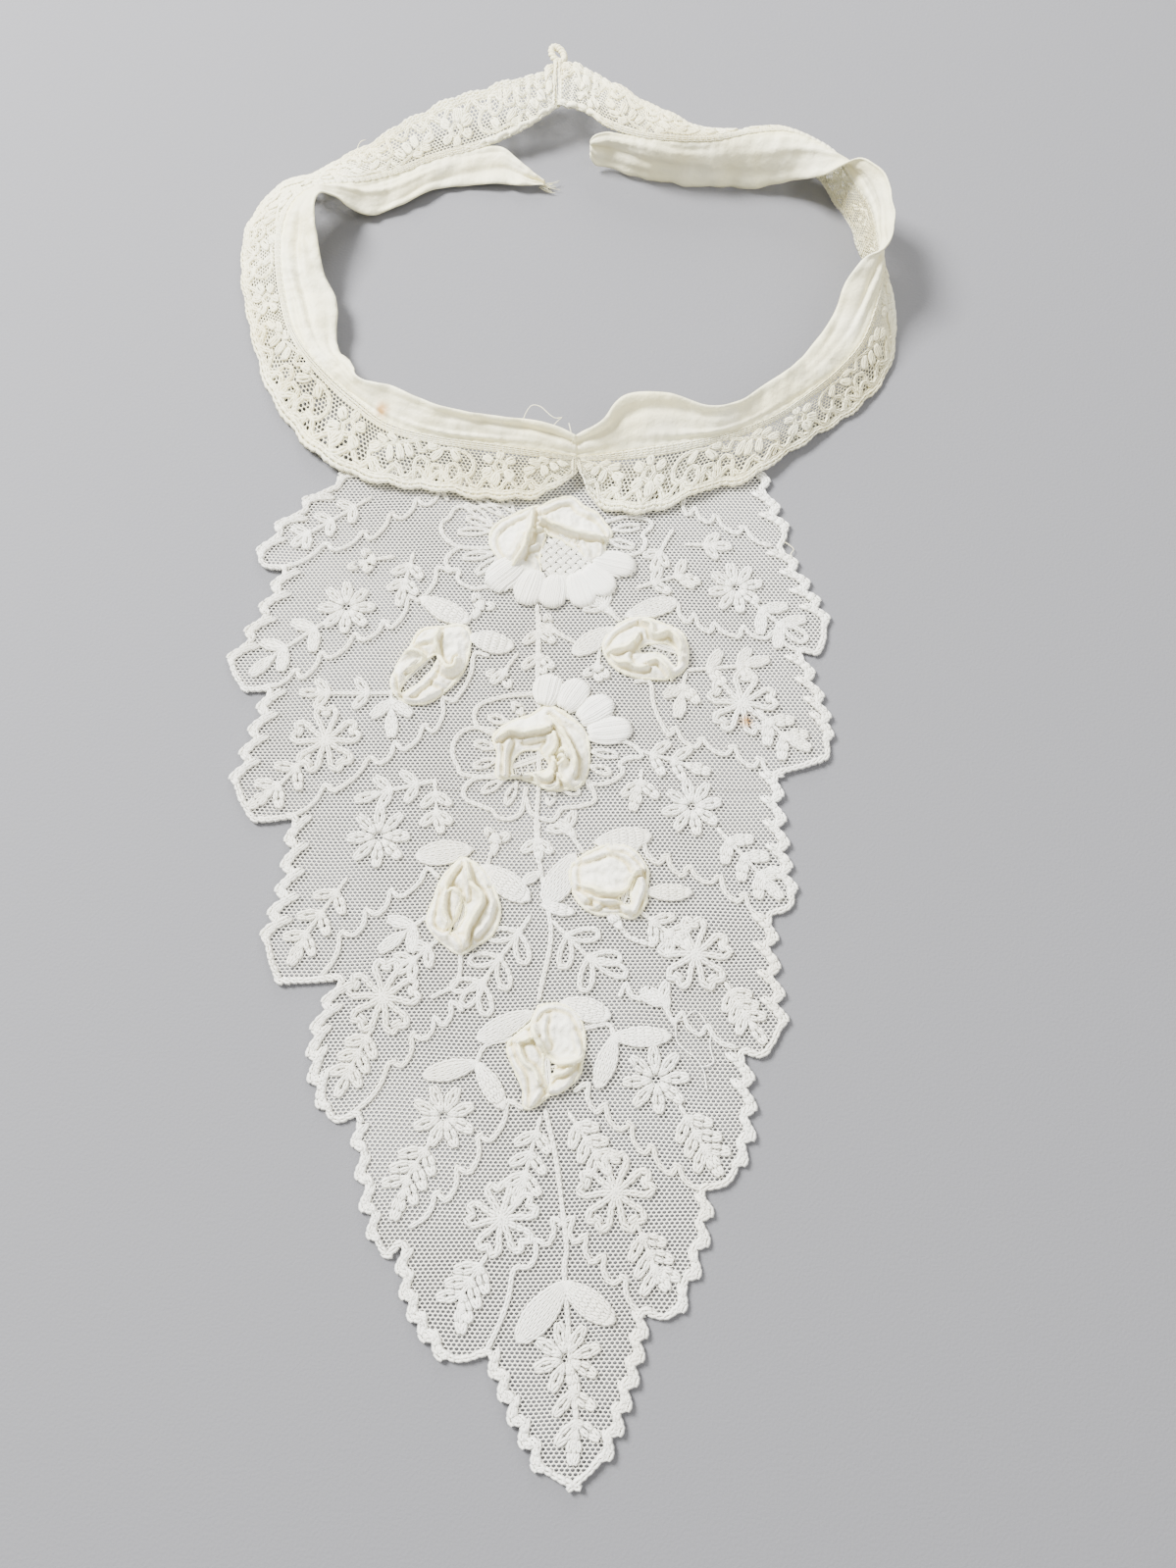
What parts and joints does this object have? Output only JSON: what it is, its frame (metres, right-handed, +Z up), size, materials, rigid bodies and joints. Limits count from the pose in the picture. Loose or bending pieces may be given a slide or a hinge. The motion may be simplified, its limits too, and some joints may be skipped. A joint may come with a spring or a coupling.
{
  "type": "lace dickey",
  "caption": "Tapered lace bib with raised cloth roses, on an open neck strip of lace and silk that closes at the back with a small loop, laid flat.",
  "frame": {"origin": "centre front of the neck seam, on the surface that the bib lies on", "axes": "+X to the right as it lies with its point towards the viewer, +Y from the bib's point to the neck, +Z up off the surface"},
  "size_m": [0.1725, 0.3519, 0.0192],
  "materials": {
    "worked_net": "white net with padded cotton embroidery, matte",
    "gathered_muslin": "fine gathered muslin, soft",
    "collar_lace": "cream net lace, matte",
    "soft_silk": "plain soft silk, a little sheen"
  },
  "bodies": {
    "root": {"bib": "worked_net", "rose_1": "gathered_muslin", "rose_2": "gathered_muslin", "rose_3": "gathered_muslin", "rose_4": "gathered_muslin", "rose_5": "gathered_muslin", "rose_6": "gathered_muslin", "rose_7": "gathered_muslin", "collar_lace_left": "collar_lace", "collar_lace_right": "collar_lace", "neckband_left": "soft_silk", "neckband_right": "soft_silk", "back_loop": "collar_lace"}
  },
  "joints": []
}
